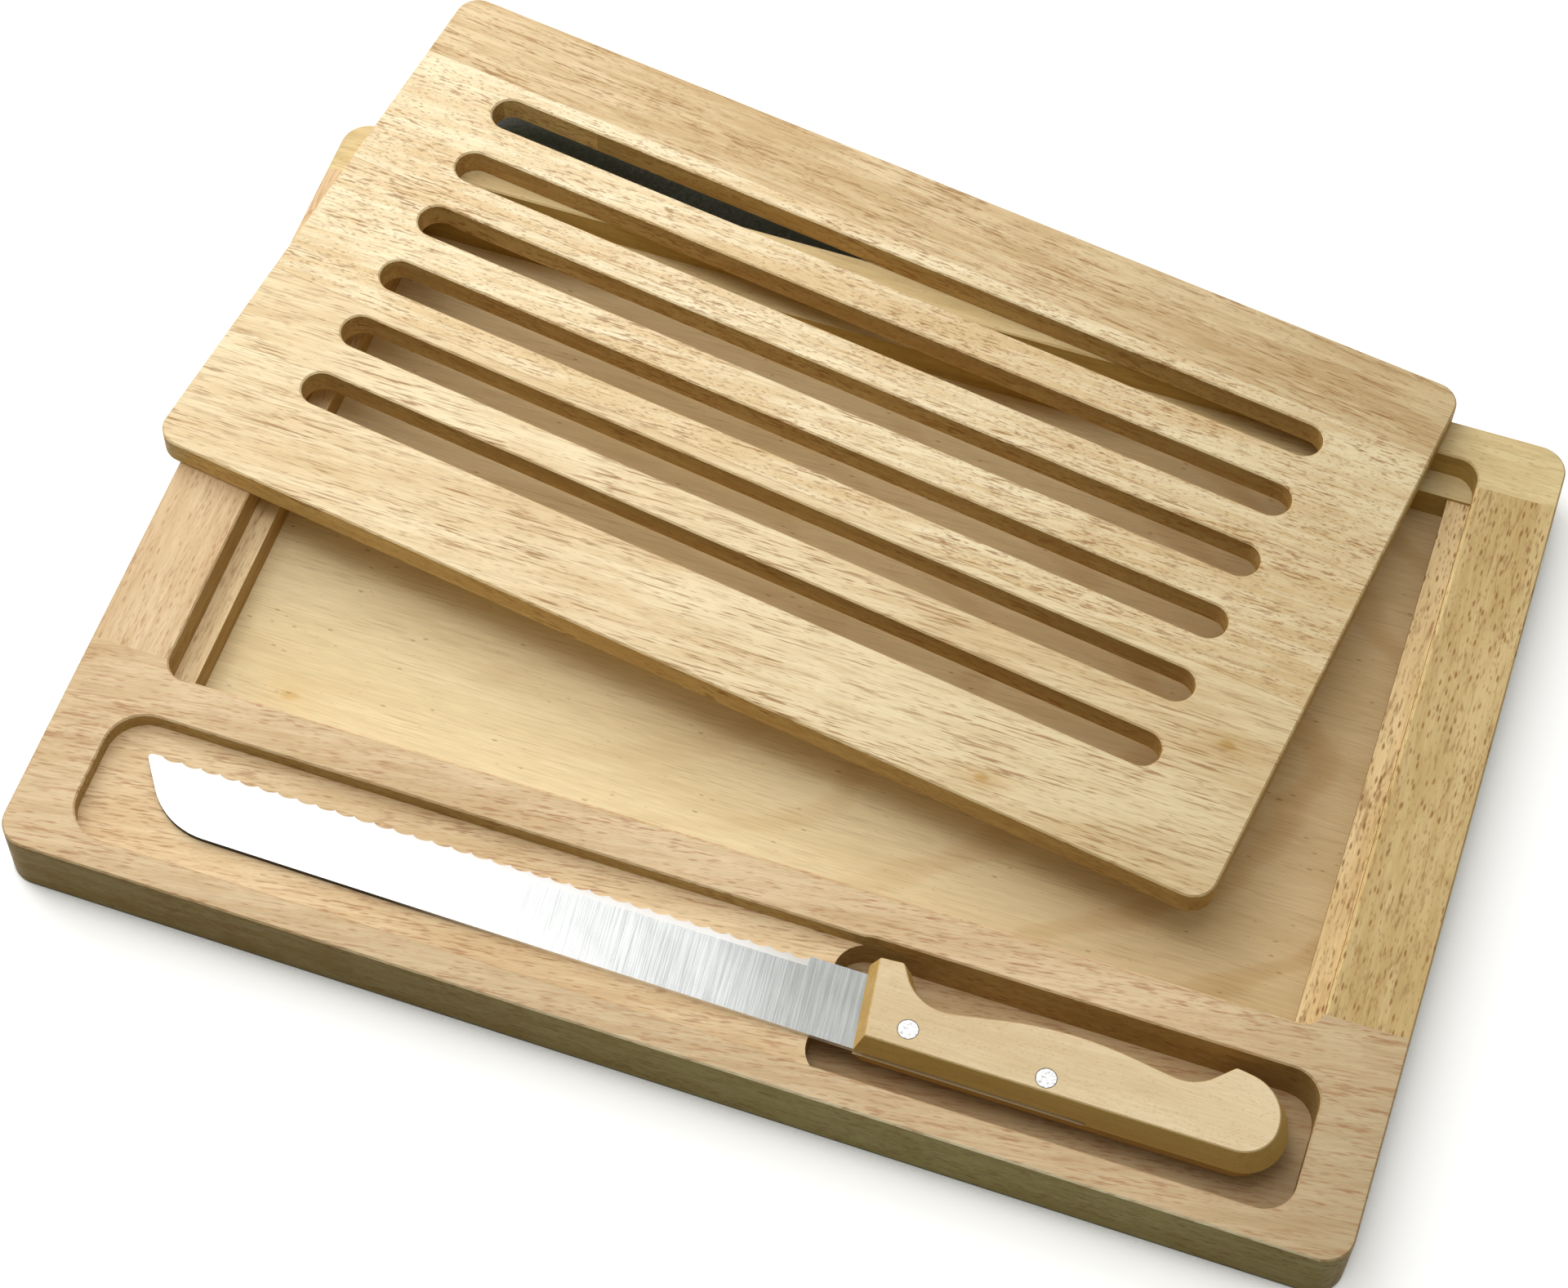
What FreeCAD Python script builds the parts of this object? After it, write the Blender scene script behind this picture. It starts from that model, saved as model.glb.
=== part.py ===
"""Bread board: a framed crumb tray, a slotted lift-off board and a bread knife in its own recess.

Sizes are in millimetres. The part stands on z = 0 with its origin at the centre of the tray's
underside: +X runs to the right along the tray, +Y to the back and +Z up.
"""
import FreeCAD
import Part
import math
import os

from FreeCAD import Placement, Rotation, Vector

# Tray frame
TRAY_LENGTH = 380.0
TRAY_DEPTH = 265.0
TRAY_HEIGHT = 22.0
TRAY_CORNER_RADIUS = 8.5
FRONT_BOARD_WIDTH = 68.0
BACK_RAIL_WIDTH = 20.0
STILE_WIDTH = 30.0
WOOD_EASE = 0.5

# Seat of the slotted board, routed round the crumb opening
SEAT_DEPTH = 9.5
SEAT_END_LEDGE = 6.6
SEAT_BACK_LEDGE = 8.0
SEAT_FRONT_LEDGE = 5.0
SEAT_CORNER_RADIUS = 6.5
STILE_LEDGE_DROP = 1.0

# Crumb floor, let into a rabbet in the underside of the frame
FLOOR_THICKNESS = 2.4
FLOOR_OVERLAP = 8.0
FLOOR_PLAY = 0.2

# Dowelled butt joints of the frame
DOWEL_DIAMETER = 6.0
DOWEL_LENGTH = 30.0
DOWEL_END_GAP = 0.5
DOWEL_FIRST_OFFSET = 7.0
DOWEL_SPACING = 11.0

# Knife recess, cut into the front board in two depths; the rooms are the gaps left round the knife,
# and the share is how much of the front board's free length lies left of the recess
BLADE_RECESS_DEPTH = 5.5
BLADE_RECESS_RADIUS = 11.5
HANDLE_RECESS_DEPTH = 16.0
HANDLE_RECESS_RADIUS = 9.0
RECESS_FRONT_WALL = 9.0
RECESS_LEFT_SHARE = 0.4828
TIP_ROOM = 11.2
HEEL_ROOM = 9.0
HANDLE_END_ROOM = 5.45
SPINE_ROOM = 9.9
EDGE_ROOM = 8.8
HUMP_ROOM = 4.0

# Slotted board, lying askew on the tray; the shares are of its width
BOARD_LENGTH = 330.0
BOARD_WIDTH = 187.2
BOARD_THICKNESS = 9.0
BOARD_CORNER_RADIUS = 7.0
BOARD_X = -21.0
BOARD_Y = 68.0
BOARD_TURN = -8.25
SLOT_COUNT = 6
SLOT_PITCH_SHARE = 0.12233
SLOT_WIDTH = 11.4
SLOT_END_MARGIN = 29.2
BACK_STAVE_SHARE = 0.13675
MIDDLE_STAVE_SHARE = 0.24973

# Knife blade: x runs from the tip to the handle, y is 0 on the scallops' crests
BLADE_LENGTH = 210.0
BLADE_THICKNESS = 1.8
BLADE_TIP_WIDTH = 20.8
BLADE_HEEL_WIDTH = 22.1
TIP_ANGLE = 56.0
TIP_BELLY_RADIUS = 22.5
TIP_POINT_RADIUS = 1.2
SCALLOP_COUNT = 33
SCALLOP_PITCH = 5.745
SCALLOP_DEPTH = 1.1
SCALLOP_START = 4.8
BEVEL_WIDTH = 3.0
EDGE_LAND = 0.6

# Half tang and its rivets; the blade's full width goes HEEL_REACH into the handle, and the rivets'
# x is measured from the blade's visible end
HEEL_REACH = 6.0
TANG_LENGTH = 66.0
TANG_WIDTH = 19.8
TANG_EDGE_INSET = 1.2
TANG_END_RADIUS = 3.0
KERF_END_GAP = 1.5
KERF_PLAY = 0.1
RIVET_DIAMETER = 5.9
FRONT_RIVET_X = 16.3
FRONT_RIVET_Y = -15.2
REAR_RIVET_X = 54.6
REAR_RIVET_Y = -16.7

# Knife handle: flat faces with sides that slope out to the blade's plane
HANDLE_LENGTH = 118.55
HANDLE_WIDTH = 23.7
HANDLE_THICKNESS = 16.0
SIDE_SLOPE = 2.3
END_SLOPE = 3.0
HANDLE_EASE = 0.35
# Corners of the handle's flat face: x from the blade's visible end as a share of the handle's
# length, y and the rounding radius as shares of its width, and the slope of the side that follows;
# the heel's two corners, the hump, the finger hollow, the belly and the pommel in turn
HANDLE_FACE = (
    (0.0498, -0.8692, 0.0, END_SLOPE),
    (0.0245, 0.1097, 0.025, SIDE_SLOPE),
    (0.0818, 0.1308, 0.051, SIDE_SLOPE),
    (0.1409, -0.3755, 0.570, SIDE_SLOPE),
    (0.4800, -0.0380, 4.220, SIDE_SLOPE),
    (0.7752, -0.2616, 0.527, SIDE_SLOPE),
    (0.8511, 0.1139, 0.059, SIDE_SLOPE),
    (0.9747, 0.0169, 0.506, END_SLOPE),
    (0.9747, -0.8565, 0.405, SIDE_SLOPE),
)

# How far a cut runs past the face that it opens, and how near two places count as one
PAST = 1.0
NEAR = 1e-3


def box(x0, y0, z0, x1, y1, z1):
    return Part.makeBox(x1 - x0, y1 - y0, z1 - z0, Vector(x0, y0, z0))


def prism(wire, z0, z1):
    face = Part.Face(wire)
    face.translate(Vector(0, 0, z0))
    return face.extrude(Vector(0, 0, z1 - z0))


def rounded_wire(corners, z=0.0):
    """Closed wire through the given (x, y, radius) corners, each rounded by a tangent arc."""
    count = len(corners)
    stops = []
    for index, (x, y, radius) in enumerate(corners):
        corner = Vector(x, y, z)
        before = (Vector(*corners[index - 1][:2], z) - corner).normalize()
        after = (Vector(*corners[(index + 1) % count][:2], z) - corner).normalize()
        half = before.getAngle(after) / 2
        reach = radius / math.tan(half)
        middle = corner + (before + after).normalize() * (radius / math.sin(half) - radius)
        stops.append((corner + before * reach, middle, corner + after * reach, radius > 0))
    edges = []
    for index, (start, middle, end, is_round) in enumerate(stops):
        if is_round:
            edges.append(Part.Arc(start, middle, end).toShape())
        following = stops[(index + 1) % count][0]
        edges.append(Part.LineSegment(end, following).toShape())
    return Part.Wire(edges)


def rounded_block(x0, y0, x1, y1, z0, z1, left_radius, right_radius):
    corners = (
        (x0, y0, left_radius),
        (x1, y0, right_radius),
        (x1, y1, right_radius),
        (x0, y1, left_radius),
    )
    return prism(rounded_wire(corners), z0, z1)


def flat_edges(shape, heights, keep):
    """Edges of a shape that lie flat at one of the heights and whose middle passes keep(x, y)."""
    chosen = []
    for edge in shape.Edges:
        bounds = edge.BoundBox
        level = any(abs(bounds.ZMin - z) < NEAR and abs(bounds.ZMax - z) < NEAR for z in heights)
        middle = edge.valueAt((edge.FirstParameter + edge.LastParameter) / 2)
        if level and keep(middle.x, middle.y):
            chosen.append(edge)
    return chosen


def eased(shape, size, heights, keep):
    """The shape with a small flat taken off the edges that flat_edges picks."""
    return shape.makeChamfer(size, flat_edges(shape, heights, keep))


# Tray frame, worked out in the part's own coordinates
LEFT = -TRAY_LENGTH / 2
RIGHT = TRAY_LENGTH / 2
FRONT = -TRAY_DEPTH / 2
BACK = TRAY_DEPTH / 2
FRONT_JOINT = FRONT + FRONT_BOARD_WIDTH
BACK_JOINT = BACK - BACK_RAIL_WIDTH
OPENING_LEFT = LEFT + STILE_WIDTH
OPENING_RIGHT = RIGHT - STILE_WIDTH
SEAT_Z = TRAY_HEIGHT - SEAT_DEPTH
SEAT_LEFT = OPENING_LEFT - SEAT_END_LEDGE
SEAT_RIGHT = OPENING_RIGHT + SEAT_END_LEDGE
SEAT_FRONT = FRONT_JOINT - SEAT_FRONT_LEDGE
SEAT_BACK = BACK_JOINT + SEAT_BACK_LEDGE

# The knife's place, and the recess that leaves its rooms round it
KNIFE_LENGTH = BLADE_LENGTH + HANDLE_LENGTH
FREE_LENGTH = TRAY_LENGTH - TIP_ROOM - KNIFE_LENGTH - HANDLE_END_ROOM
RECESS_LEFT = LEFT + RECESS_LEFT_SHARE * FREE_LENGTH
RECESS_FRONT = FRONT + RECESS_FRONT_WALL
KNIFE_X = RECESS_LEFT + TIP_ROOM
KNIFE_Y = RECESS_FRONT + SPINE_ROOM + BLADE_HEEL_WIDTH
HANDLE_RECESS_LEFT = KNIFE_X + BLADE_LENGTH - HEEL_ROOM
HANDLE_RECESS_RIGHT = KNIFE_X + KNIFE_LENGTH + HANDLE_END_ROOM
HUMP_REACH = max(y for _, y, _, _ in HANDLE_FACE) * HANDLE_WIDTH + SIDE_SLOPE


def seat_cut():
    return rounded_block(SEAT_LEFT, SEAT_FRONT, SEAT_RIGHT, SEAT_BACK, SEAT_Z,
                         TRAY_HEIGHT + PAST, SEAT_CORNER_RADIUS, SEAT_CORNER_RADIUS)


def floor_rabbet():
    return box(OPENING_LEFT - FLOOR_OVERLAP, FRONT_JOINT - FLOOR_OVERLAP, -PAST,
               OPENING_RIGHT + FLOOR_OVERLAP, BACK_JOINT + FLOOR_OVERLAP, FLOOR_THICKNESS)


def dowel_places():
    """Each dowel's name, x and joint plane: two across every corner joint of the frame."""
    places = []
    for end, joint in (("front", FRONT_JOINT), ("back", BACK_JOINT)):
        for side, edge, inward in (("left", LEFT, 1), ("right", RIGHT, -1)):
            for index, place in enumerate(("outer", "inner")):
                x = edge + inward * (DOWEL_FIRST_OFFSET + index * DOWEL_SPACING)
                places.append((f"{end}_{side}_dowel_{place}", x, joint))
    return places


def dowel(x, joint, extra=0.0):
    length = DOWEL_LENGTH + 2 * extra
    start = Vector(x, joint - length / 2, TRAY_HEIGHT / 2)
    return Part.makeCylinder(DOWEL_DIAMETER / 2, length, start, Vector(0, 1, 0))


def drilled(shape):
    for _, x, joint in dowel_places():
        shape = shape.cut(dowel(x, joint, DOWEL_END_GAP))
    return shape


def knife_recess():
    blade = rounded_block(RECESS_LEFT, RECESS_FRONT,
                          HANDLE_RECESS_LEFT + 2 * HANDLE_RECESS_RADIUS, KNIFE_Y + EDGE_ROOM,
                          TRAY_HEIGHT - BLADE_RECESS_DEPTH, TRAY_HEIGHT + PAST,
                          BLADE_RECESS_RADIUS, 0.0)
    handle = rounded_block(HANDLE_RECESS_LEFT, RECESS_FRONT, HANDLE_RECESS_RIGHT,
                           KNIFE_Y + HUMP_REACH + HUMP_ROOM, TRAY_HEIGHT - HANDLE_RECESS_DEPTH,
                           TRAY_HEIGHT + PAST, HANDLE_RECESS_RADIUS, HANDLE_RECESS_RADIUS)
    return blade.fuse(handle).removeSplitter()


def front_board():
    corners = (
        (LEFT, FRONT, TRAY_CORNER_RADIUS),
        (RIGHT, FRONT, TRAY_CORNER_RADIUS),
        (RIGHT, FRONT_JOINT, 0.0),
        (LEFT, FRONT_JOINT, 0.0),
    )
    board = prism(rounded_wire(corners), 0, TRAY_HEIGHT)
    board = board.cut(seat_cut()).cut(knife_recess())
    board = eased(board, WOOD_EASE, (0.0, TRAY_HEIGHT), lambda x, y: y < FRONT_JOINT - NEAR)
    return drilled(board.cut(floor_rabbet()))


def back_rail():
    corners = (
        (LEFT, BACK_JOINT, 0.0),
        (RIGHT, BACK_JOINT, 0.0),
        (RIGHT, BACK, TRAY_CORNER_RADIUS),
        (LEFT, BACK, TRAY_CORNER_RADIUS),
    )
    rail = prism(rounded_wire(corners), 0, TRAY_HEIGHT).cut(seat_cut())
    rail = eased(rail, WOOD_EASE, (0.0, TRAY_HEIGHT), lambda x, y: y > BACK_JOINT + NEAR)
    return drilled(rail.cut(floor_rabbet()))


def stile(outer, opening, seat):
    """Side piece between the front board and the back rail, rabbeted along its inner edge."""
    x0, x1 = sorted((outer, opening))
    piece = box(x0, FRONT_JOINT, 0, x1, BACK_JOINT, TRAY_HEIGHT)
    ledge_x0, ledge_x1 = sorted((opening, seat))
    piece = piece.cut(box(ledge_x0, FRONT_JOINT - PAST, SEAT_Z - STILE_LEDGE_DROP,
                          ledge_x1, BACK_JOINT + PAST, TRAY_HEIGHT + PAST))
    piece = eased(piece, WOOD_EASE, (TRAY_HEIGHT,),
                  lambda x, y: FRONT_JOINT + NEAR < y < BACK_JOINT - NEAR)
    piece = eased(piece, WOOD_EASE, (0.0,), lambda x, y: abs(x - outer) < NEAR)
    return drilled(piece.cut(floor_rabbet()))


def floor_panel():
    return box(OPENING_LEFT - FLOOR_OVERLAP + FLOOR_PLAY, FRONT_JOINT - FLOOR_OVERLAP + FLOOR_PLAY,
               0, OPENING_RIGHT + FLOOR_OVERLAP - FLOOR_PLAY,
               BACK_JOINT + FLOOR_OVERLAP - FLOOR_PLAY, FLOOR_THICKNESS)


def slot_centres():
    pitch = SLOT_PITCH_SHARE * BOARD_WIDTH
    first = -(SLOT_COUNT - 1) / 2 * pitch
    return [first + index * pitch for index in range(SLOT_COUNT)]


def slotted_board():
    """The glued-up board, centred on its own origin with its underside at z = 0."""
    half_x = BOARD_LENGTH / 2
    half_y = BOARD_WIDTH / 2
    board = rounded_block(-half_x, -half_y, half_x, half_y, 0, BOARD_THICKNESS,
                          BOARD_CORNER_RADIUS, BOARD_CORNER_RADIUS)
    slot_half = half_x - SLOT_END_MARGIN
    end_radius = SLOT_WIDTH / 2 - NEAR
    for y in slot_centres():
        board = board.cut(rounded_block(-slot_half, y - SLOT_WIDTH / 2, slot_half,
                                        y + SLOT_WIDTH / 2, -PAST, BOARD_THICKNESS + PAST,
                                        end_radius, end_radius))
    return eased(board, WOOD_EASE, (0.0, BOARD_THICKNESS), lambda x, y: True)


def board_place():
    return Placement(Vector(BOARD_X, BOARD_Y, TRAY_HEIGHT), Rotation(Vector(0, 0, 1), BOARD_TURN))


def board_staves():
    """The slotted board's four staves, from its back edge to its front edge."""
    back_edge = BOARD_WIDTH / 2
    shares = [BACK_STAVE_SHARE + index * MIDDLE_STAVE_SHARE for index in range(3)]
    glue_lines = [back_edge - share * BOARD_WIDTH for share in shares]
    edges = [back_edge + PAST] + glue_lines + [-back_edge - PAST]
    whole = slotted_board()
    staves = []
    for upper, lower in zip(edges, edges[1:]):
        piece = whole.common(box(-BOARD_LENGTH, lower, -PAST, BOARD_LENGTH, upper,
                                 BOARD_THICKNESS + PAST))
        piece.Placement = board_place()
        staves.append(piece)
    return staves


# The knife lies with its blade flat on the floor of the blade recess
BLADE_Z = TRAY_HEIGHT - BLADE_RECESS_DEPTH
BLADE_MIDDLE_Z = BLADE_THICKNESS / 2


def knife_placed(shape):
    shape.Placement = Placement(Vector(KNIFE_X, KNIFE_Y, BLADE_Z), Rotation())
    return shape


def scallop_edges():
    """Concave arcs along the cutting edge, from the tip to the plain heel."""
    edges = []
    for index in range(SCALLOP_COUNT):
        x = SCALLOP_START + index * SCALLOP_PITCH
        edges.append(Part.Arc(Vector(x, 0, 0),
                              Vector(x + SCALLOP_PITCH / 2, -SCALLOP_DEPTH, 0),
                              Vector(x + SCALLOP_PITCH, 0, 0)).toShape())
    return edges


def blade_wire():
    """Outline of the blade before its scallops are ground: point, belly, spine and heel."""
    tip_slant = BLADE_TIP_WIDTH / math.tan(math.radians(TIP_ANGLE))
    heel = BLADE_LENGTH + HEEL_REACH
    return rounded_wire((
        (0.0, 0.0, TIP_POINT_RADIUS),
        (tip_slant, -BLADE_TIP_WIDTH, TIP_BELLY_RADIUS),
        (heel, -BLADE_HEEL_WIDTH, 0.0),
        (heel, 0.0, 0.0),
    ))


def blade_cutter():
    """Everything behind the scalloped edge, removed from the plain blade."""
    end = SCALLOP_START + SCALLOP_COUNT * SCALLOP_PITCH
    edges = scallop_edges()
    corners = (
        Vector(end, 0, 0),
        Vector(end, SCALLOP_PITCH, 0),
        Vector(SCALLOP_START, SCALLOP_PITCH, 0),
        Vector(SCALLOP_START, 0, 0),
    )
    for start, stop in zip(corners, corners[1:]):
        edges.append(Part.LineSegment(start, stop).toShape())
    return prism(Part.Wire(edges), -PAST, BLADE_THICKNESS + PAST)


def edge_bevel():
    """Wedge ground off the upper side along the cutting edge."""
    end = SCALLOP_START + SCALLOP_COUNT * SCALLOP_PITCH
    profile = Part.makePolygon([
        Vector(0, -BEVEL_WIDTH, BLADE_THICKNESS),
        Vector(0, PAST, EDGE_LAND - PAST * (BLADE_THICKNESS - EDGE_LAND) / BEVEL_WIDTH),
        Vector(0, PAST, BLADE_THICKNESS + PAST),
        Vector(0, -BEVEL_WIDTH, BLADE_THICKNESS + PAST),
        Vector(0, -BEVEL_WIDTH, BLADE_THICKNESS),
    ])
    return Part.Face(profile).extrude(Vector(end, 0, 0))


def tang():
    y1 = -TANG_EDGE_INSET
    y0 = y1 - TANG_WIDTH
    corners = (
        (BLADE_LENGTH, y0, 0.0),
        (BLADE_LENGTH + TANG_LENGTH, y0, TANG_END_RADIUS),
        (BLADE_LENGTH + TANG_LENGTH, y1, TANG_END_RADIUS),
        (BLADE_LENGTH, y1, 0.0),
    )
    return prism(rounded_wire(corners), 0, BLADE_THICKNESS)


def rivet(x, y):
    bottom = BLADE_MIDDLE_Z - HANDLE_THICKNESS / 2
    place = Vector(BLADE_LENGTH + x, y, bottom)
    return Part.makeCylinder(RIVET_DIAMETER / 2, HANDLE_THICKNESS, place)


def rivets():
    return rivet(FRONT_RIVET_X, FRONT_RIVET_Y), rivet(REAR_RIVET_X, REAR_RIVET_Y)


def knife_blade():
    blade = prism(blade_wire(), 0, BLADE_THICKNESS)
    blade = blade.cut(blade_cutter()).cut(edge_bevel())
    blade = blade.fuse(tang()).removeSplitter()
    for pin in rivets():
        blade = blade.cut(pin)
    return blade


def handle_outline(z, share, inset=0.0):
    """The handle's outline at height z, moved out by a share of each side's slope, less inset."""
    points = [Vector(BLADE_LENGTH + x * HANDLE_LENGTH, y * HANDLE_WIDTH, 0)
              for x, y, _, _ in HANDLE_FACE]
    lines = []
    for index, (_, _, _, slope) in enumerate(HANDLE_FACE):
        along = (points[(index + 1) % len(points)] - points[index]).normalize()
        outward = Vector(-along.y, along.x, 0)
        lines.append((points[index] + outward * (slope * share - inset), along))
    corners = []
    for index, (_, _, radius, _) in enumerate(HANDLE_FACE):
        p, u = lines[index - 1]
        q, v = lines[index]
        cross = u.x * v.y - u.y * v.x
        reach = ((q.x - p.x) * v.y - (q.y - p.y) * v.x) / cross
        corner = p + u * reach
        bulges = 1 if cross < 0 else -1
        grown = radius * HANDLE_WIDTH + bulges * (SIDE_SLOPE * share - inset) if radius else 0.0
        corners.append((corner.x, corner.y, grown))
    return rounded_wire(corners, z)


def knife_handle():
    low = BLADE_MIDDLE_Z - HANDLE_THICKNESS / 2
    high = BLADE_MIDDLE_Z + HANDLE_THICKNESS / 2
    handle = Part.makeLoft([
        handle_outline(low, 0.0),
        handle_outline(BLADE_MIDDLE_Z, 1.0),
        handle_outline(high - HANDLE_EASE, 0.0),
        handle_outline(high, 0.0, HANDLE_EASE),
    ], True, True)
    kerf_end = BLADE_LENGTH + TANG_LENGTH + KERF_END_GAP
    kerf = box(BLADE_LENGTH - 2 * END_SLOPE, -2 * BLADE_HEEL_WIDTH, -KERF_PLAY, kerf_end,
               BLADE_HEEL_WIDTH, BLADE_THICKNESS + KERF_PLAY)
    handle = handle.cut(kerf)
    for pin in rivets():
        handle = handle.cut(pin)
    return handle


def build():
    parts = {
        "front_board": front_board(),
        "back_rail": back_rail(),
        "left_stile": stile(LEFT, OPENING_LEFT, SEAT_LEFT),
        "right_stile": stile(RIGHT, OPENING_RIGHT, SEAT_RIGHT),
        "floor_panel": floor_panel(),
    }
    for name, x, joint in dowel_places():
        parts[name] = dowel(x, joint)
    for index, stave in enumerate(board_staves()):
        parts[f"board_stave_{index + 1}"] = stave
    parts["knife_blade"] = knife_placed(knife_blade())
    parts["knife_handle"] = knife_placed(knife_handle())
    front_rivet, rear_rivet = rivets()
    parts["front_rivet"] = knife_placed(front_rivet)
    parts["rear_rivet"] = knife_placed(rear_rivet)
    return parts


def main():
    os.makedirs("parts", exist_ok=True)
    for name, shape in build().items():
        print(name, "solids", len(shape.Solids), "valid", shape.isValid(),
              "volume", round(shape.Volume, 1))
        shape.exportStep(f"parts/{name}.step")


main()
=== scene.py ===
"""Looks of the bread board: pale pored wood, a brushed scalloped blade and soft studio light."""
import math

import bmesh
import bpy
from mathutils import Matrix, Vector


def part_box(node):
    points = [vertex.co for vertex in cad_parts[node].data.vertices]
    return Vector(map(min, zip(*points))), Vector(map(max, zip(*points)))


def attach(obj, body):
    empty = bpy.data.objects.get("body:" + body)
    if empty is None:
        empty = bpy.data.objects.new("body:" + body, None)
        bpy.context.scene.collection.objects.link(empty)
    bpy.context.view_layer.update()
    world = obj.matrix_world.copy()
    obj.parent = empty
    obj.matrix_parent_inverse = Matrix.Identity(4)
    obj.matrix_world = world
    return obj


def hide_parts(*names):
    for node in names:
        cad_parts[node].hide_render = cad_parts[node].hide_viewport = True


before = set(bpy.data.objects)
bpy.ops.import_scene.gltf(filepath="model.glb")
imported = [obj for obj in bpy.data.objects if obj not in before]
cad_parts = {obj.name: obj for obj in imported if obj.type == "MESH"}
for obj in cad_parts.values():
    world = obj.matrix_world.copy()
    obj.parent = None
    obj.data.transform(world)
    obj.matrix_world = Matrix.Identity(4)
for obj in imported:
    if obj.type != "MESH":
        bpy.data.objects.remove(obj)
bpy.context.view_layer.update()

MM = 0.001

# The slotted board's turn on the tray, in degrees, and its centre, in millimetres
BOARD_TURN = -8.25
BOARD_CENTRE = (-21.0, 68.0)
# The staves' glue lines, in millimetres from the board's middle towards its back
GLUE_LINES = (68.0, 21.25, -25.5)

# Camera that matches the photograph: place, axes and frame of 1920 by 1577 pixels
CAMERA_PLACE = (0.14763, -0.51546, 0.90857)
CAMERA_RIGHT = (0.94197, 0.33543, -0.01347)
CAMERA_DOWN = (0.28194, -0.81227, -0.51061)
CAMERA_FORWARD = (-0.18221, 0.47718, -0.85971)
FRAME_WIDTH_PX = 1920
FRAME_HEIGHT_PX = 1577
FOCAL_PX = 4504.7
PRINCIPAL_X_PX = 784.29
PRINCIPAL_Y_PX = 816.83
SENSOR_WIDTH = 36.0

# Soft studio light: a large softbox at the back left, a smaller one above, and a tent that is dark
# towards the front. Places and widths in metres, power in watts
KEY_PLACE = (-0.66, 0.40, 0.64)
KEY_AIM = (-0.05, 0.0, 0.0)
KEY_WIDTH = 0.75
KEY_DEPTH = 1.00
KEY_POWER = 6.2
TOP_PLACE = (-0.08, -0.10, 0.90)
TOP_AIM = (0.0, 0.0, 0.0)
TOP_WIDTH = 0.6
TOP_DEPTH = 0.35
TOP_POWER = 2.6
TENT_AXIS = (-0.20, 0.35, 0.91)
TENT_DARK = (0.13, 0.135, 0.08)
TENT_BRIGHT = 0.72
# Where the tent starts to brighten and is full, as the cosine from its axis
TENT_EDGE = 0.20
TENT_FULL = 0.95

# The floor: its half width and its depth below the tray in metres, its tone in the open and its
# painted shade under an overhang, the overhang's reach, and the distances in millimetres at which it
# turns to backdrop
FLOOR_REACH = 4.0
FLOOR_DEPTH = 0.3 * MM
FLOOR_OPEN = (0.92, 0.92, 0.92, 1)
FLOOR_OVERHANG_SHADE = (0.055, 0.055, 0.030, 1)
FLOOR_GLOW = 0.32
OVERHANG_REACH = 60.0 * MM
FLOOR_NEAR = 300.0
FLOOR_FAR = 900.0
GROUND = (0.19, 0.21, 0.11, 1)
BACKDROP = 0.98
WHITE = (1, 1, 1, 1)


def srgb(red, green, blue):
    """Linear colour of an 8-bit screen colour."""
    def linear(value):
        value = value / 255
        return value / 12.92 if value <= 0.04045 else ((value + 0.055) / 1.055) ** 2.4
    return (linear(red), linear(green), linear(blue), 1.0)


# Colours of the pores, the steel and the rivets
PORE = srgb(146, 102, 56)
RED_PORE = srgb(160, 108, 70)
# Painted shade for faces that face less upwards than a level face: the frame, the board and the
# handle
UPRIGHT_SHADE = (0.66, 0.58, 0.34, 1)
BOARD_UPRIGHT_SHADE = (0.90, 0.76, 0.48, 1)
HANDLE_UPRIGHT_SHADE = (0.80, 0.66, 0.34, 1)
STEEL_DARK = (0.42, 0.43, 0.42, 1)
STEEL_LIGHT = (0.56, 0.57, 0.56, 1)
# Painted highlight for the blade's bevel and its sides near the heel, and painted shade for its
# sides near the tip
STEEL_HIGHLIGHT = (0.93, 0.93, 0.92, 1)
STEEL_SHADED = (0.05, 0.045, 0.035, 1)
# Painted shade for the blade's heel
HEEL_SHADE = (0.78, 0.78, 0.76, 1)
RIVET_LIGHT = (0.80, 0.80, 0.82, 1)
RIVET_DARK = (0.42, 0.42, 0.40, 1)
# Painted shadow line round the rivets
RIVET_RIM_SHADOW = (0.10, 0.08, 0.05, 1)
WOOD_ROUGHNESS = 0.5

# The tang inside the handle, in metres: the kerf's play, where the full width ends, how far the
# tang stays inside the handle's outline, and the steps that shape it
KERF_PLAY = 0.1 * MM
HEEL_REACH = 6.0 * MM
TANG_INSET = 0.4 * MM
TANG_STEP = 2.0 * MM


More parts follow.
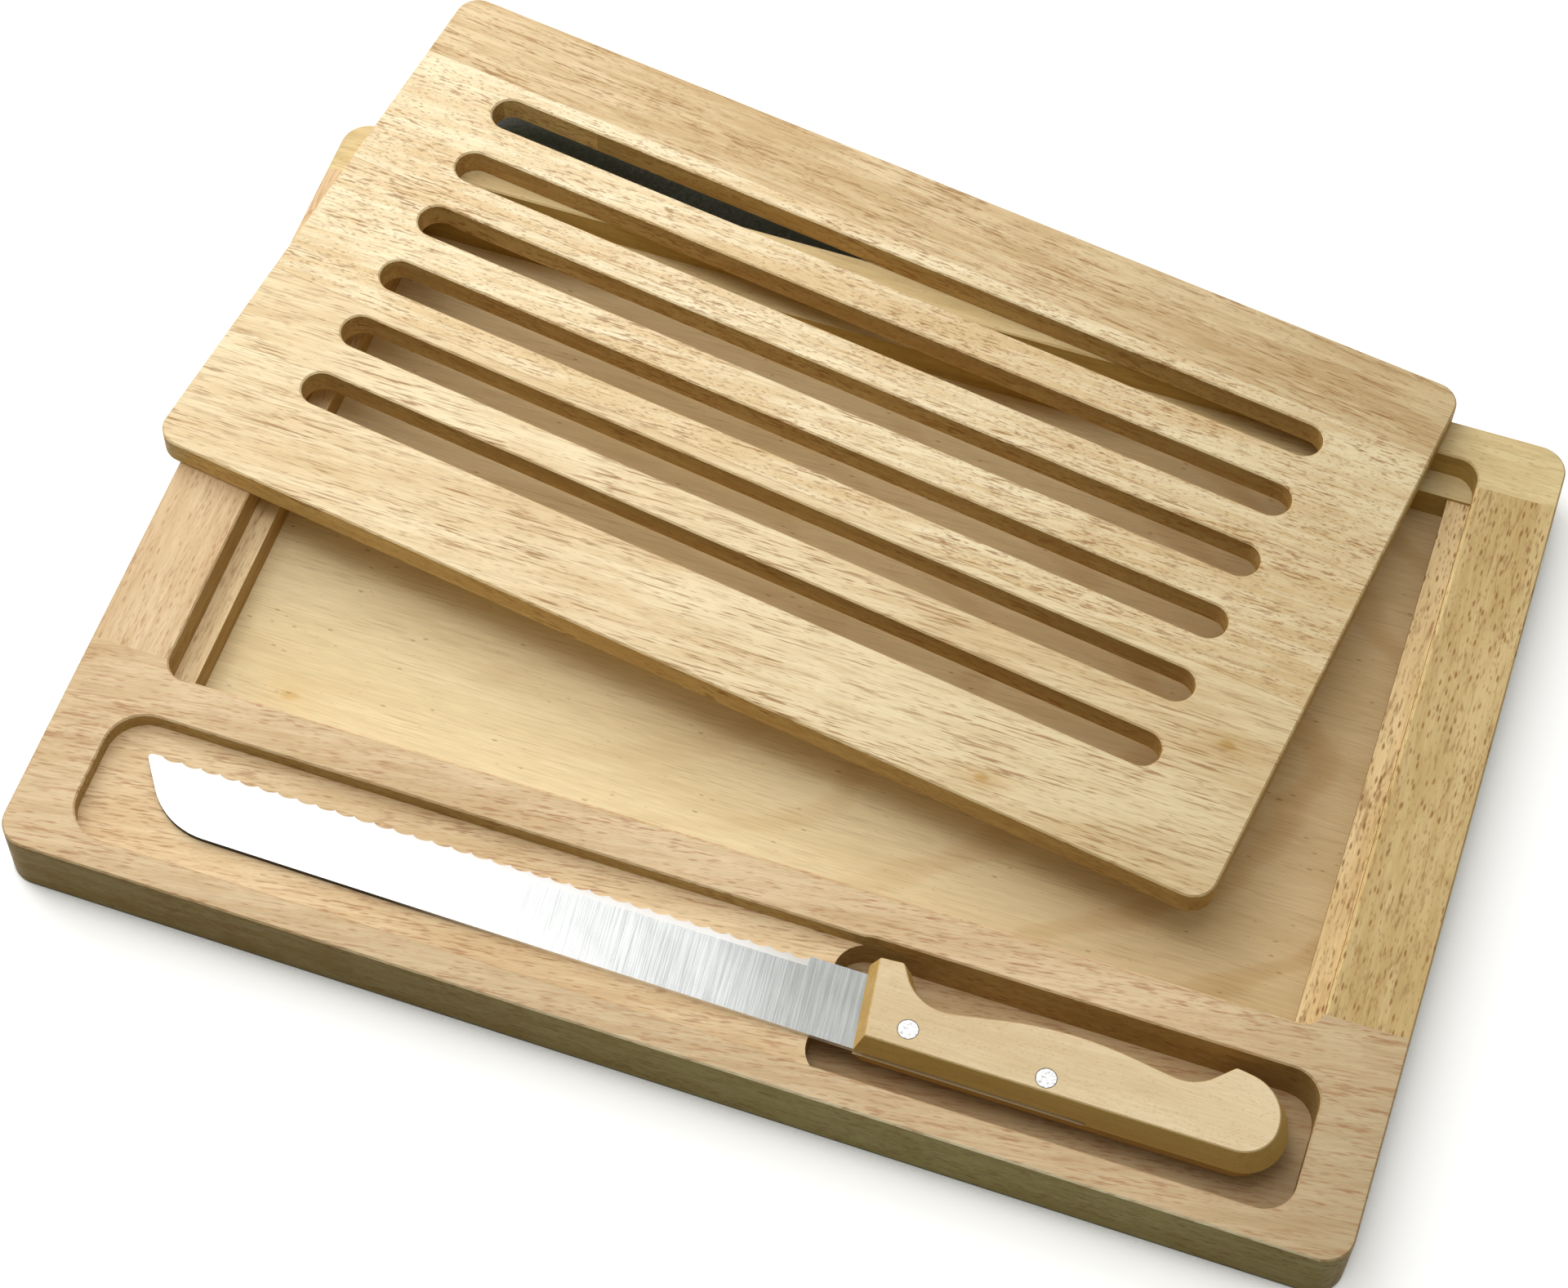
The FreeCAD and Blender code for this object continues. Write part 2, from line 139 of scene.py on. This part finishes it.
class Graph:
    """The node tree of a material or a world, with short calls for the nodes that they share."""

    def __init__(self, owner):
        self.owner = owner
        owner.use_nodes = True
        self.tree = owner.node_tree
        self.tree.nodes.clear()

    def node(self, kind, values=None, **settings):
        node = self.tree.nodes.new("ShaderNode" + kind)
        for key, value in settings.items():
            setattr(node, key, value)
        for key, value in (values or {}).items():
            self.feed(node.inputs[key], value)
        return node

    def feed(self, socket, value):
        if isinstance(value, bpy.types.NodeSocket):
            self.tree.links.new(value, socket)
        else:
            socket.default_value = value

    def math(self, operation, a, b=0.0):
        return self.node("Math", {0: a, 1: b}, operation=operation).outputs[0]

    def ramp(self, value, low, high, to_low=0.0, to_high=1.0):
        """value, eased from to_low to to_high between low and high."""
        node = self.node("MapRange", {"Value": value, "From Min": low, "From Max": high,
                                      "To Min": to_low, "To Max": to_high},
                         interpolation_type="SMOOTHSTEP")
        return node.outputs["Result"]

    def mix(self, factor, a, b, blend="MIX"):
        node = self.node("Mix", {0: factor, 6: a, 7: b}, data_type="RGBA", blend_type=blend)
        return node.outputs[2]

    def place(self, turn=0.0, centre=(0.0, 0.0)):
        """The surface's place in millimetres, in axes turned by an angle about a centre."""
        angle = math.radians(-turn)
        offset = Matrix.Rotation(angle, 2) @ Vector(centre)
        coordinates = self.node("TexCoord").outputs["Object"]
        node = self.node("Mapping", {"Vector": coordinates, "Location": (-offset.x, -offset.y, 0),
                                     "Rotation": (0, 0, angle), "Scale": (1 / MM,) * 3})
        return node.outputs["Vector"]

    def stretched(self, place, along, across, seed=0.0):
        """place measured in cells of a length along the grain and a width across it."""
        node = self.node("Mapping", {"Vector": place, "Location": (seed, seed * 1.7, seed * 0.6),
                                     "Scale": (1 / along, 1 / across, 1 / across)})
        return node.outputs["Vector"]

    def noise(self, vector, detail=2.0, roughness=0.5, distortion=0.0):
        node = self.node("TexNoise", {"Vector": vector, "Scale": 1.0, "Detail": detail,
                                      "Roughness": roughness, "Distortion": distortion})
        return node.outputs["Fac"]

    def voronoi(self, vector):
        node = self.node("TexVoronoi", {"Vector": vector, "Scale": 1.0, "Randomness": 1.0})
        return node.outputs["Distance"], node.outputs["Color"]

    def split(self, vector):
        return self.node("SeparateXYZ", {0: vector}).outputs

    def facing(self, axis):
        """How far the surface faces along an axis, from -1 to 1."""
        return self.split(self.node("TexCoord").outputs["Normal"])[axis]

    def distance(self, a, b):
        """The length of the plane vector with the parts a and b."""
        squares = self.math("ADD", self.math("MULTIPLY", a, a), self.math("MULTIPLY", b, b))
        return self.math("SQRT", squares)

    def seen(self):
        """1 for what is seen straight, in a reflection or through glass, and 0 for bounced light."""
        paths = self.node("LightPath").outputs
        indirect = self.math("MAXIMUM", paths["Is Glossy Ray"], paths["Is Transmission Ray"])
        return self.math("MAXIMUM", paths["Is Camera Ray"], indirect)

    def finish(self, shader, output="OutputMaterial"):
        end = self.node(output)
        self.tree.links.new(shader, end.inputs["Surface"])
        return self.owner


def material_graph(name):
    return Graph(bpy.data.materials.new(name))


def pores(graph, place, seed, size, share, patch):
    """Short dark dashes along the grain, in a share of the cells that drifts over the wood."""
    length, width = size
    distance, colour = graph.voronoi(graph.stretched(place, length, width, seed))
    chance = graph.split(colour)[0]
    drift = graph.noise(graph.stretched(place, patch * 3, patch, seed + 3.1), 1.0)
    kept = graph.ramp(drift, 0.33, 0.66, 0.3 * share, 1.6 * share)
    chosen = graph.math("LESS_THAN", chance, kept)
    dash = graph.ramp(distance, 0.12, 0.36, 1.0, 0.0)
    return graph.math("MULTIPLY", dash, chosen)


def tinted(graph, factor, colour, tint):
    """The colour multiplied by a tint, as far as the factor says."""
    return graph.mix(factor, colour, tint, "MULTIPLY")


def knot(x, y, radius, tint):
    """A small knot: a soft uneven blot at a place along and across the grain."""
    def draw(graph, axes, colour):
        along = graph.math("MULTIPLY", graph.math("SUBTRACT", axes[0], x), 0.55)
        across = graph.math("SUBTRACT", axes[1], y)
        reach = graph.distance(along, across)
        spot = graph.node("CombineXYZ", {0: axes[0], 1: axes[1]}).outputs[0]
        uneven = graph.noise(graph.stretched(spot, radius * 1.6, radius * 0.6, x), 2.0)
        reach = graph.math("MULTIPLY", reach, graph.math("ADD", uneven, 0.5))
        halo = graph.ramp(reach, 0.0, radius * 4.0, 0.40, 0.0)
        eye = graph.ramp(reach, radius * 0.3, radius, 0.60, 0.0)
        return tinted(graph, graph.math("ADD", halo, eye), colour, tint)
    return draw


def light_falloff(start, end, tint, axis=0):
    """Painted shade where the light falls off: a tint that comes in from one place to another along
    (0) or across (1) the grain.
    """
    def draw(graph, axes, colour):
        return tinted(graph, graph.ramp(axes[axis], start, end), colour, tint)
    return draw


def arches(x, y, squeeze, period, start, end, tint, strength):
    """Cathedral arches: long rings about a far centre, coming in from start to end."""
    def draw(graph, axes, colour):
        along = graph.math("MULTIPLY", graph.math("SUBTRACT", axes[0], x), squeeze)
        across = graph.math("SUBTRACT", axes[1], y)
        reach = graph.distance(along, across)
        wander = graph.node("CombineXYZ", {0: axes[0], 1: axes[1]}).outputs[0]
        wobble = graph.noise(graph.stretched(wander, 80.0, 20.0, 4.4), 1.0)
        phase = graph.math("ADD", graph.math("MULTIPLY", reach, 2 * math.pi / period),
                           graph.math("MULTIPLY", wobble, 6.0))
        line = graph.ramp(graph.math("SINE", phase), 0.55, 1.0)
        shown = graph.math("MULTIPLY", graph.ramp(axes[0], start, end), strength)
        return tinted(graph, graph.math("MULTIPLY", line, shown), colour, tint)
    return draw


def arris(place, tint):
    """A line of light along an edge that runs with the grain, at a place across it."""
    def draw(graph, axes, colour):
        gap = graph.math("ABSOLUTE", graph.math("SUBTRACT", axes[1], place))
        return tinted(graph, graph.ramp(gap, 0.2, 0.7, 1.0, 0.0), colour, tint)
    return draw


def recess_light(depth, tint):
    """Painted light and shade for the level surfaces that lie below a height: a tint above 1
    lightens them, one below 1 darkens them.
    """
    def draw(graph, axes, colour):
        level = graph.math("MULTIPLY", graph.math("GREATER_THAN", graph.facing(2), 0.5),
                           graph.ramp(axes[2], depth, depth + 0.5, 1.0, 0.0))
        return tinted(graph, level, colour, tint)
    return draw


def front_face_light(start, end, tint):
    """Painted light on the tray's upright front: a lightening tint that comes in from left to right.
    """
    def draw(graph, axes, colour):
        tray_axes = graph.split(graph.place())
        upright = graph.math("LESS_THAN", graph.facing(1), -0.7)
        outer = graph.math("LESS_THAN", tray_axes[1], -128.0)
        level = graph.math("MULTIPLY", upright, outer)
        level = graph.math("MULTIPLY", level, graph.ramp(tray_axes[0], start, end))
        return tinted(graph, level, colour, tint)
    return draw


def slot_wall_shade(tint):
    """Painted shade on the walls of the slots, which lie well inside the board's outline."""
    def draw(graph, axes, colour):
        wall = graph.math("LESS_THAN", graph.math("ABSOLUTE", graph.facing(2)), 0.5)
        for axis, reach in ((0, 148.0), (1, 70.0)):
            inside = graph.math("LESS_THAN", graph.math("ABSOLUTE", axes[axis]), reach)
            wall = graph.math("MULTIPLY", wall, inside)
        return tinted(graph, wall, colour, tint)
    return draw


def wood(name, light, dark, seed, grain=0.0, centre=(0.0, 0.0), mottle=0.5, strokes=0.4,
         stroke_size=(7.0, 0.6), pore_colour=PORE, pore_size=(3.4, 0.9), pore_share=0.4,
         pore_depth=0.6, edge=UPRIGHT_SHADE, flat=0.9, glue=(), figures=()):
    """Sawn pale wood: drifting tone, flames, fine strokes and pores that follow the grain.

    Each figure adds a mark or a tint of its own, some of them painted light and shade, glue lists
    the glue lines that the wood shows, and edge is the painted shade of what faces less upwards than
    flat says.
    """
    graph = material_graph(name)
    place = graph.place(grain, centre)
    axes = graph.split(place)

    drift = graph.noise(graph.stretched(place, 120.0, 22.0, seed), 2.0)
    flames = graph.noise(graph.stretched(place, 30.0, 2.8, seed + 5.3), 3.0, 0.6, 0.3)
    fibres = graph.noise(graph.stretched(place, 9.0, 0.30, seed + 9.1), 2.0, 0.6)
    tone = graph.math("ADD", graph.math("MULTIPLY", graph.ramp(drift, 0.3, 0.7), 0.5),
                      graph.math("MULTIPLY", graph.ramp(flames, 0.3, 0.7), mottle))
    colour = graph.mix(graph.ramp(tone, 0.0, 1.0), light, dark)
    for figure in figures:
        colour = figure(graph, axes, colour)

    stroke = graph.noise(graph.stretched(place, *stroke_size, seed + 7.7), 2.0, 0.6, 0.15)
    patches = graph.noise(graph.stretched(place, 40.0, 8.0, seed + 1.3), 2.0)
    line = graph.math("MULTIPLY", graph.ramp(stroke, 0.50, 0.66),
                      graph.ramp(patches, 0.38, 0.62, 0.30, 1.0))
    colour = graph.mix(graph.math("MULTIPLY", line, strokes), colour, pore_colour)
    fibre_shade = graph.ramp(fibres, 0.3, 0.7, 0.93, 1.05)
    colour = graph.node("VectorMath", {0: colour, 1: fibre_shade}, operation="MULTIPLY").outputs[0]

    dashes = pores(graph, place, seed + 2.2, pore_size, pore_share, 11.0)
    fine_size = (pore_size[0] * 0.6, pore_size[1] * 0.6)
    specks = pores(graph, place, seed + 6.6, fine_size, pore_share, 8.0)
    colour = graph.mix(graph.math("MULTIPLY", specks, pore_depth * 0.55), colour, pore_colour)
    colour = graph.mix(graph.math("MULTIPLY", dashes, pore_depth), colour, pore_colour)

    board_axes = graph.split(graph.place(BOARD_TURN, BOARD_CENTRE)) if glue else axes
    for glue_line in glue:
        gap = graph.math("ABSOLUTE", graph.math("SUBTRACT", board_axes[1], glue_line))
        colour = graph.mix(graph.ramp(gap, 0.05, 0.28, 0.4, 0.0), colour, pore_colour)
    # Painted shade on what faces less upwards than flat says
    upright = graph.ramp(graph.math("ABSOLUTE", graph.facing(2)), flat - 0.6, flat, 1.0, 0.0)
    colour = tinted(graph, upright, colour, edge)

    height = graph.math("SUBTRACT", graph.math("MULTIPLY", fibres, 0.35), dashes)
    bump = graph.node("Bump", {"Strength": 0.2, "Distance": 0.06 * MM, "Height": height})
    rough = graph.ramp(flames, 0.3, 0.7, WOOD_ROUGHNESS - 0.05, WOOD_ROUGHNESS + 0.08)
    shader = graph.node("BsdfPrincipled", {"Base Color": colour, "Roughness": rough,
                                           "Specular IOR Level": 0.12,
                                           "Normal": bump.outputs["Normal"]})
    return graph.finish(shader.outputs[0])


def brushed_steel():
    """Brushed blade steel with soft clouds of polish, a painted highlight on the bevel,
    painted shade and highlight along the sides, and painted shade on the heel.
    """
    graph = material_graph("blade_steel")
    brushing = graph.noise(graph.stretched(graph.place(5.0), 0.30, 24.0, 1.0), 2.0, 0.7)
    clouds = graph.noise(graph.stretched(graph.place(-30.0), 40.0, 12.0, 4.0), 1.0)
    shade = graph.math("ADD", graph.ramp(brushing, 0.3, 0.7, 0.0, 0.55),
                       graph.ramp(clouds, 0.3, 0.7, 0.0, 0.45))
    colour = graph.mix(shade, STEEL_DARK, STEEL_LIGHT)
    facing = graph.facing(2)
    # Painted highlight: the bevel faces take the highlight colour, and they are rougher
    bevel_faces = graph.ramp(facing, 0.95, 0.99, 1.0, 0.0)
    along = graph.split(graph.place())[0]
    # Painted shade and highlight on the sides: dark near the tip, bright near the heel
    side_shade_and_highlight = graph.mix(graph.ramp(along, -90.0, -30.0), STEEL_SHADED, STEEL_HIGHLIGHT)
    edge = graph.math("LESS_THAN", facing, 0.3)
    colour = graph.mix(bevel_faces, colour, STEEL_HIGHLIGHT)
    colour = graph.mix(edge, colour, side_shade_and_highlight)
    # Painted shade: the heel's steel is darker
    colour = tinted(graph, graph.ramp(along, 5.0, 40.0), colour, HEEL_SHADE)
    rough = graph.math("ADD", graph.ramp(brushing, 0.3, 0.7, 0.20, 0.27),
                       graph.math("MULTIPLY", bevel_faces, 0.30))
    bump = graph.node("Bump", {"Strength": 0.15, "Distance": 0.02 * MM, "Height": brushing})
    shader = graph.node("BsdfPrincipled", {"Base Color": colour, "Metallic": 1.0,
                                           "Roughness": rough, "Normal": bump.outputs["Normal"]})
    return graph.finish(shader.outputs[0])


def rivet_metal(node):
    """Aluminium filed flush: bright and pitted, with a painted shadow line where it meets the wood.
    """
    graph = material_graph(node + "_metal")
    low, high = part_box(node)
    middle = ((low[0] + high[0]) / 2 / MM, (low[1] + high[1]) / 2 / MM)
    radius = (high[0] - low[0]) / 2 / MM
    place = graph.place(0.0, middle)
    axes = graph.split(place)
    reach = graph.distance(axes[0], axes[1])
    scratches = graph.noise(graph.stretched(graph.place(35.0), 4.0, 0.12, 2.0), 2.0, 0.6)
    pits = graph.noise(graph.stretched(place, 0.8, 0.8, 5.0), 3.0, 0.7)
    colour = graph.mix(graph.ramp(pits, 0.42, 0.62), RIVET_LIGHT, RIVET_DARK)
    # Painted shadow line round the rim
    rim_shadow = graph.ramp(reach, radius - 0.38, radius - 0.12)
    colour = graph.mix(rim_shadow, colour, RIVET_RIM_SHADOW)
    rough = graph.ramp(scratches, 0.3, 0.7, 0.45, 0.60)
    bump = graph.node("Bump", {"Strength": 0.3, "Distance": 0.03 * MM, "Height": pits})
    shader = graph.node("BsdfPrincipled", {"Base Color": colour, "Metallic": 1.0,
                                           "Roughness": rough, "Normal": bump.outputs["Normal"]})
    return graph.finish(shader.outputs[0])


def handle_edge(level):
    """The handle's outline on the cutting edge's side at a height: a function of x, in metres."""
    farthest = {}
    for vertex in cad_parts["knife_handle"].data.vertices:
        x, y, z = vertex.co
        if abs(z - level) < 0.02 * MM:
            x = round(x, 5)
            farthest[x] = max(y, farthest.get(x, y))
    outline = sorted(farthest.items())

    def height(x):
        for (x0, y0), (x1, y1) in zip(outline, outline[1:]):
            if x0 <= x <= x1:
                return y0 + (y1 - y0) * (x - x0) / (x1 - x0)
        return math.inf
    return height


def shaped_blade():
    """The blade, with its tang shaped to the handle's finger hollow as on a real knife."""
    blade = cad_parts["knife_blade"]
    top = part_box("knife_blade")[1]
    height = handle_edge(top[2] + KERF_PLAY)
    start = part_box("knife_handle")[0][0] + HEEL_REACH
    shape = bmesh.new()
    shape.from_mesh(blade.data)
    steps = int((top[0] - start) / TANG_STEP)
    for step in range(1, steps):
        everything = shape.verts[:] + shape.edges[:] + shape.faces[:]
        bmesh.ops.bisect_plane(shape, geom=everything, dist=1e-7, plane_no=(1, 0, 0),
                               plane_co=(start + step * TANG_STEP, 0, 0))
    for vertex in shape.verts:
        if vertex.co.x > start:
            vertex.co.y = min(vertex.co.y, height(vertex.co.x) - TANG_INSET)
    for face in shape.faces:
        face.smooth = False
    mesh = bpy.data.meshes.new("knife_blade_shaped")
    shape.to_mesh(mesh)
    shape.free()
    if "custom_normal" in mesh.attributes:
        mesh.attributes.remove(mesh.attributes["custom_normal"])
    mesh.materials.clear()
    mesh.materials.append(brushed_steel())
    piece = bpy.data.objects.new("knife_blade_shaped", mesh)
    bpy.context.scene.collection.objects.link(piece)
    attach(piece, "knife")
    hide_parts("knife_blade")


def dress(node, material):
    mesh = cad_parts[node].data
    mesh.materials.clear()
    mesh.materials.append(material)


def dress_frame():
    """The tray's front board, back rail and stiles."""
    dress("front_board", wood(
        "front_board_wood", srgb(222, 197, 159), srgb(203, 173, 132), 1.0, grain=8.0, strokes=0.6,
        stroke_size=(8.0, 0.7), pore_colour=RED_PORE, pore_size=(6.0, 1.0), pore_share=0.5,
        pore_depth=0.5,
        # Painted shade: darker towards the right end and towards the front
        figures=(light_falloff(100.0, 190.0, (0.80, 0.80, 0.78, 1)),
                 light_falloff(-98.0, -122.0, (0.92, 0.93, 0.94, 1), 1),
                 # Painted light: the upright front grows lighter towards the right
                 front_face_light(-150.0, 120.0, (1.40, 1.65, 2.0, 1)),
                 # Painted light on the blade recess floor and painted shade on the deeper handle
                 # recess floor
                 recess_light(17.5, (1.10, 1.10, 1.08, 1)),
                 recess_light(9.0, (0.80, 0.77, 0.72, 1)))))
    dress("back_rail", wood(
        "back_rail_wood", srgb(226, 205, 156), srgb(206, 181, 130), 2.0, strokes=0.25,
        pore_share=0.2, pore_depth=0.35))
    dress("left_stile", wood(
        "left_stile_wood", srgb(226, 199, 160), srgb(206, 175, 134), 3.0, grain=90.0, strokes=0.5,
        stroke_size=(6.0, 0.7), pore_colour=RED_PORE, pore_size=(4.5, 1.1), pore_share=0.5,
        # Painted light on the left ledge
        pore_depth=0.5, figures=(recess_light(15.0, (1.2, 1.27, 1.25, 1)),)))
    dress("right_stile", wood(
        "right_stile_wood", srgb(212, 187, 136), srgb(192, 163, 110), 4.0, grain=90.0, strokes=0.6,
        stroke_size=(7.0, 1.0), pore_size=(5.0, 1.3), pore_share=0.8, pore_depth=0.85,
        # Painted light on the right ledge
        figures=(recess_light(15.0, (1.38, 1.42, 1.60, 1)), arris(-167.0, (1.35, 1.38, 1.45, 1)))))


def dress_floor_panel():
    dress("floor_panel", wood(
        "floor_wood", srgb(238, 218, 174), srgb(222, 198, 150), 5.0, mottle=0.25, strokes=0.20,
        stroke_size=(16.0, 0.7), pore_share=0.03,
        # Painted shade: darker towards the right end
        figures=(light_falloff(20.0, 165.0, (0.86, 0.79, 0.72, 1)),
                 arches(-260.0, 10.0, 0.35, 16.0, -160.0, 150.0, (0.78, 0.64, 0.48, 1), 0.40),
                 knot(-136.0, -54.0, 2.2, (0.86, 0.74, 0.56, 1)))))


def dress_staves():
    """The slotted board's four staves, from back to front."""
    # The board's upright faces take a painted shade
    common = {"centre": BOARD_CENTRE, "edge": BOARD_UPRIGHT_SHADE}
    # Painted shade: the staves are darker towards their right end and on their slot walls
    falloff_and_slot_shade = (light_falloff(-60.0, 165.0, (0.80, 0.78, 0.72, 1)), slot_wall_shade((0.74, 0.70, 0.62, 1)))
    knots = (knot(144.0, -64.0, 2.2, (0.72, 0.58, 0.36, 1)),
             knot(84.0, -97.0, 1.8, (0.76, 0.62, 0.40, 1)))
    dress("board_stave_1", wood(
        "stave_wood_1", srgb(230, 207, 167), srgb(204, 174, 130), 6.0, grain=BOARD_TURN, mottle=0.6,
        strokes=0.75, stroke_size=(8.0, 0.55), pore_share=0.4, pore_depth=0.4, figures=falloff_and_slot_shade,
        **common))
    dress("board_stave_2", wood(
        "stave_wood_2", srgb(246, 229, 194), srgb(224, 196, 151), 7.0, grain=BOARD_TURN + 4.0,
        mottle=0.6, strokes=0.7, stroke_size=(5.0, 0.7), pore_size=(2.6, 0.9), pore_share=0.8,
        pore_depth=0.5, glue=GLUE_LINES[:2], figures=falloff_and_slot_shade, **common))
    dress("board_stave_3", wood(
        "stave_wood_3", srgb(248, 231, 196), srgb(224, 197, 152), 8.0, grain=BOARD_TURN + 6.0,
        mottle=0.6, strokes=0.75, stroke_size=(6.0, 0.7), pore_size=(3.0, 0.9), pore_share=0.8,
        pore_depth=0.5, glue=GLUE_LINES[1:], figures=falloff_and_slot_shade, **common))
    dress("board_stave_4", wood(
        "stave_wood_4", srgb(242, 223, 185), srgb(222, 196, 153), 9.0, grain=BOARD_TURN + 7.0,
        strokes=0.75, stroke_size=(11.0, 0.65), pore_size=(5.0, 0.7), pore_share=0.3,
        pore_depth=0.45, glue=GLUE_LINES[2:], figures=falloff_and_slot_shade + knots, **common))


def dress_knife():
    # The handle's faces that face less upwards take a painted shade
    dress("knife_handle", wood(
        "handle_wood", srgb(226, 205, 168), srgb(212, 186, 144), 10.0, mottle=0.3, strokes=0.2,
        stroke_size=(3.0, 1.0), pore_colour=srgb(190, 156, 110), pore_size=(1.6, 1.0),
        pore_share=0.5, pore_depth=0.35, edge=HANDLE_UPRIGHT_SHADE, flat=1.0))
    for node in ("front_rivet", "rear_rivet"):
        dress(node, rivet_metal(node))
    shaped_blade()


def dress_dowels():
    material = wood("dowel_wood", srgb(214, 186, 142), srgb(190, 156, 110), 11.0, grain=90.0)
    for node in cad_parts:
        if "dowel" in node:
            dress(node, material)


def add_camera():
    data = bpy.data.cameras.new("camera")
    data.sensor_width = SENSOR_WIDTH
    data.lens = FOCAL_PX / FRAME_WIDTH_PX * SENSOR_WIDTH
    data.shift_x = (FRAME_WIDTH_PX / 2 - PRINCIPAL_X_PX) / FRAME_WIDTH_PX
    data.shift_y = (PRINCIPAL_Y_PX - FRAME_HEIGHT_PX / 2) / FRAME_WIDTH_PX
    data.clip_start = 0.01
    camera = bpy.data.objects.new("camera", data)
    bpy.context.scene.collection.objects.link(camera)
    columns = (Vector(CAMERA_RIGHT), -Vector(CAMERA_DOWN), -Vector(CAMERA_FORWARD))
    camera.matrix_world = (Matrix.Translation(CAMERA_PLACE)
                           @ Matrix(columns).transposed().to_4x4())
    bpy.context.scene.camera = camera


def add_area_light(name, place, target, width, depth, power):
    data = bpy.data.lights.new(name, "AREA")
    data.shape = "RECTANGLE"
    data.size = width
    data.size_y = depth
    data.energy = power
    light = bpy.data.objects.new(name, data)
    bpy.context.scene.collection.objects.link(light)
    light.location = place
    light.rotation_euler = (Vector(target) - Vector(place)).to_track_quat("-Z", "Y").to_euler()


def add_floor():
    """White to the eye, with the object's shadow and a painted shade under overhangs on it, and dim
    to the light that it bounces.
    """
    mesh = bpy.data.meshes.new("floor")
    corners = [(x * FLOOR_REACH, y * FLOOR_REACH, -FLOOR_DEPTH)
               for x, y in ((-1, -1), (1, -1), (1, 1), (-1, 1))]
    mesh.from_pydata(corners, [], [(0, 1, 2, 3)])
    floor = bpy.data.objects.new("floor", mesh)
    bpy.context.scene.collection.objects.link(floor)
    graph = material_graph("floor")
    # Painted shade: ambient occlusion darkens the floor under an overhang and dims its glow there
    covered = graph.node("AmbientOcclusion", {"Distance": OVERHANG_REACH}, samples=16)
    open_air = graph.ramp(covered.outputs["AO"], 0.34, 0.62)
    pale = graph.node("BsdfDiffuse", {"Color": graph.mix(open_air, FLOOR_OVERHANG_SHADE, FLOOR_OPEN)})
    glow = graph.node("Emission", {"Color": WHITE,
                                   "Strength": graph.math("MULTIPLY", open_air, FLOOR_GLOW)})
    near = graph.node("AddShader", {0: pale.outputs[0], 1: glow.outputs[0]})
    far = graph.node("Emission", {"Color": WHITE, "Strength": BACKDROP})
    distance = graph.node("VectorMath", {0: graph.place()}, operation="LENGTH").outputs["Value"]
    shown = graph.node("MixShader", {0: graph.ramp(distance, FLOOR_NEAR, FLOOR_FAR),
                                     1: near.outputs[0], 2: far.outputs[0]})
    dim = graph.node("BsdfDiffuse", {"Color": GROUND})
    mixed = graph.node("MixShader", {0: graph.seen(), 1: dim.outputs[0], 2: shown.outputs[0]})
    mesh.materials.append(graph.finish(mixed.outputs[0]))


def set_world():
    """A light tent: bright overhead and behind, dark low down and in front, white to the eye."""
    world = bpy.data.worlds.new("studio")
    bpy.context.scene.world = world
    graph = Graph(world)
    direction = graph.node("TexCoord").outputs["Generated"]
    facing = graph.node("VectorMath", {0: direction, 1: Vector(TENT_AXIS).normalized()},
                        operation="DOT_PRODUCT").outputs["Value"]
    bright = (TENT_BRIGHT, TENT_BRIGHT * 0.99, TENT_BRIGHT * 0.97, 1)
    tent = graph.mix(graph.ramp(facing, TENT_EDGE, TENT_FULL), (*TENT_DARK, 1), bright)
    lighting = graph.node("Background", {"Color": tent})
    backdrop = graph.node("Background", {"Color": (BACKDROP, BACKDROP, BACKDROP, 1)})
    mixed = graph.node("MixShader", {0: graph.seen(), 1: lighting.outputs[0],
                                     2: backdrop.outputs[0]})
    graph.finish(mixed.outputs[0], "OutputWorld")


dress_frame()
dress_floor_panel()
dress_staves()
dress_knife()
dress_dowels()
add_camera()
add_floor()
set_world()
add_area_light("key", KEY_PLACE, KEY_AIM, KEY_WIDTH, KEY_DEPTH, KEY_POWER)
add_area_light("top", TOP_PLACE, TOP_AIM, TOP_WIDTH, TOP_DEPTH, TOP_POWER)
bpy.context.scene.view_settings.view_transform = "Standard"
